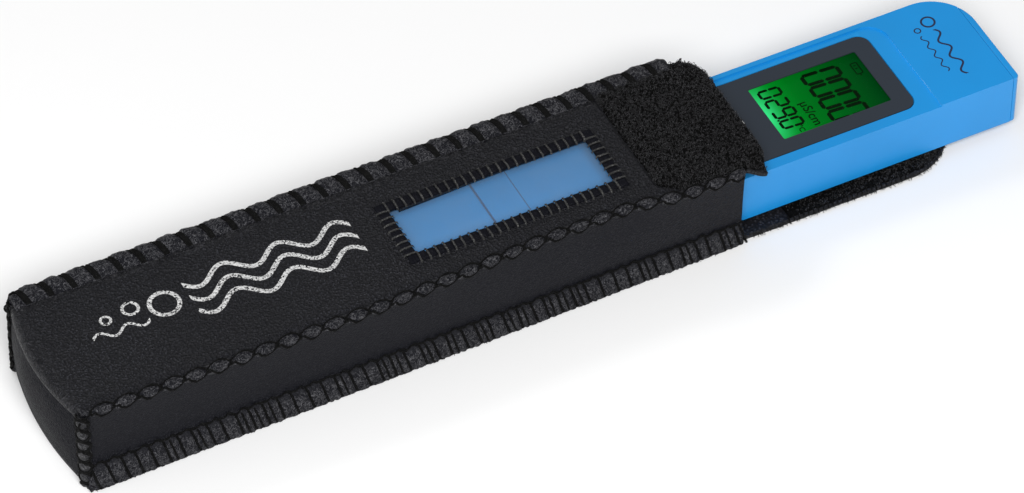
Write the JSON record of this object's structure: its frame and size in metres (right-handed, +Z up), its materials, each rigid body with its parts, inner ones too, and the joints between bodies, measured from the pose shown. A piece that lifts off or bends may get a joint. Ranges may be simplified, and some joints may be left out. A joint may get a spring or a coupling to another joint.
{
  "type": "digital water tester in a carrying case",
  "caption": "Pen-type digital water tester, display up, half drawn from a stitched black leather case with a window and flap.",
  "frame": {"origin": "middle of the footprint, on the surface that the case lies on", "axes": "+X along the case from its closed end to the tester's head, +Z up through the display, +Y to the left of that"},
  "size_m": [0.228, 0.0412, 0.023],
  "materials": {
    "leather": "matt black pebbled leather",
    "thread": "matt black thread",
    "hook_and_loop": "matt black pile",
    "window_film": "clear soft film",
    "blue_shell": "satin",
    "label_print": "satin dark grey print",
    "acrylic": "clear acrylic",
    "lcd_glass": "green backlit liquid crystal",
    "white_plastic": "satin",
    "grey_rubber": "matt",
    "black_plastic": "matt",
    "circuit_board": "green solder mask",
    "chip_epoxy": "matt",
    "steel": "bright",
    "titanium": "satin",
    "spring_steel": "bright"
  },
  "bodies": {
    "case": {"back_panel": "leather", "front_panel": "leather", "near_gusset": "leather", "far_gusset": "leather", "end_panel": "leather", "window_film": "window_film", "loop_patch": "hook_and_loop", "window_stitching": "thread", "near_top_thread": "thread", "far_top_thread": "thread", "near_bottom_thread": "thread", "far_bottom_thread": "thread", "near_corner_thread": "thread", "far_corner_thread": "thread"},
    "flap": {"flap_panel": "leather", "hook_patch": "hook_and_loop", "hook_patch_thread": "thread"},
    "cap": {"probe_cap": "blue_shell"},
    "tester": {"front_shell": "blue_shell", "rear_cover": "blue_shell", "lens_plate": "acrylic", "face_label": "label_print", "lcd_panel": "lcd_glass", "lcd_frame": "black_plastic", "light_guide": "white_plastic", "backlight_led": "white_plastic", "contact_strip": "grey_rubber", "circuit_board": "circuit_board", "controller_chip": "chip_epoxy", "crystal": "steel", "probe_holder": "white_plastic", "neck_seal": "black_plastic", "electrode_left": "titanium", "electrode_right": "titanium", "temperature_probe": "steel", "plus_contact": "spring_steel", "minus_contact": "spring_steel", "rear_screw": "steel", "near_screw": "steel", "far_screw": "steel", "power_switch": "black_plastic", "hold_switch": "black_plastic", "mode_switch": "black_plastic"},
    "power_button": {"power_key": "grey_rubber"},
    "hold_button": {"hold_key": "grey_rubber"},
    "mode_button": {"mode_key": "grey_rubber"},
    "battery_drawer": {"battery_cover": "blue_shell", "battery_tray": "black_plastic", "bridge_contact": "spring_steel", "outer_cell": "steel", "inner_cell": "steel"}
  },
  "joints": [
    {"name": "flap_fold", "type": "hinge", "parent": "case", "child": "flap", "pos_m": [0.044, 0, 0], "axis": [0, -1, 0], "range_deg": [-170, 0]},
    {"name": "tester_slide", "type": "slide", "parent": "case", "child": "cap", "axis": [1, 0, 0], "range_m": [-0.069, 0.086]},
    {"name": "cap_pull", "type": "slide", "parent": "cap", "child": "tester", "axis": [1, 0, 0], "range_m": [0, 0.03]},
    {"name": "power_press", "type": "slide", "parent": "tester", "child": "power_button", "axis": [0, 0, -1], "range_m": [0, 0.0005], "stiffness_N_per_m": 150},
    {"name": "hold_press", "type": "slide", "parent": "tester", "child": "hold_button", "axis": [0, 0, -1], "range_m": [0, 0.0005], "stiffness_N_per_m": 150},
    {"name": "mode_press", "type": "slide", "parent": "tester", "child": "mode_button", "axis": [0, 0, -1], "range_m": [0, 0.0005], "stiffness_N_per_m": 150},
    {"name": "battery_drawer_slide", "type": "slide", "parent": "tester", "child": "battery_drawer", "axis": [1, 0, 0], "range_m": [0, 0.027]}
  ]
}
